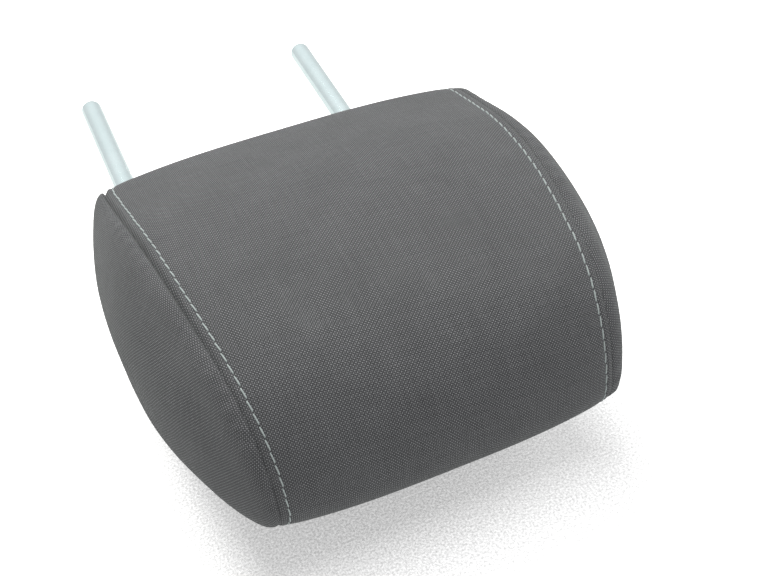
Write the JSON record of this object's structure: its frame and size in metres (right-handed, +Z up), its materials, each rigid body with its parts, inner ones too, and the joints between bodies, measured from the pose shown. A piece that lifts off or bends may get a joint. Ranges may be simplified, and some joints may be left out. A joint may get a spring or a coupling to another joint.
{
  "type": "car headrest",
  "caption": "Padded fabric head restraint with stitched side seams on a bent steel post frame that slides into the top of a car seat.",
  "frame": {"origin": "middle of the part's footprint, on the surface that it lies on", "axes": "lying on its back: +X across the headrest, +Y from the head edge towards the tips of the posts, +Z up through the front face"},
  "size_m": [0.2206, 0.3824, 0.1342],
  "materials": {
    "cover_fabric": "dark grey flat woven upholstery cloth",
    "foam": "moulded polyurethane foam, matt",
    "post_steel": "bright plated steel",
    "screw_steel": "zinc plated",
    "insert_plastic": "moulded, matt",
    "trim_plastic": "moulded, fine grain",
    "thread": "pale grey sewing thread"
  },
  "bodies": {
    "root": {"armature_rod": "post_steel", "foam_bun": "foam", "cover_center_panel": "cover_fabric", "cover_side_left": "cover_fabric", "cover_side_right": "cover_fabric", "topstitch_left": "thread", "topstitch_right": "thread", "closure_strip_front": "trim_plastic", "closure_strip_rear": "trim_plastic", "insert_shell_front": "insert_plastic", "insert_shell_rear": "insert_plastic", "insert_screw_1": "screw_steel", "insert_screw_2": "screw_steel", "insert_screw_3": "screw_steel", "insert_screw_4": "screw_steel", "post_bush_left": "trim_plastic", "post_bush_right": "trim_plastic"}
  },
  "joints": []
}
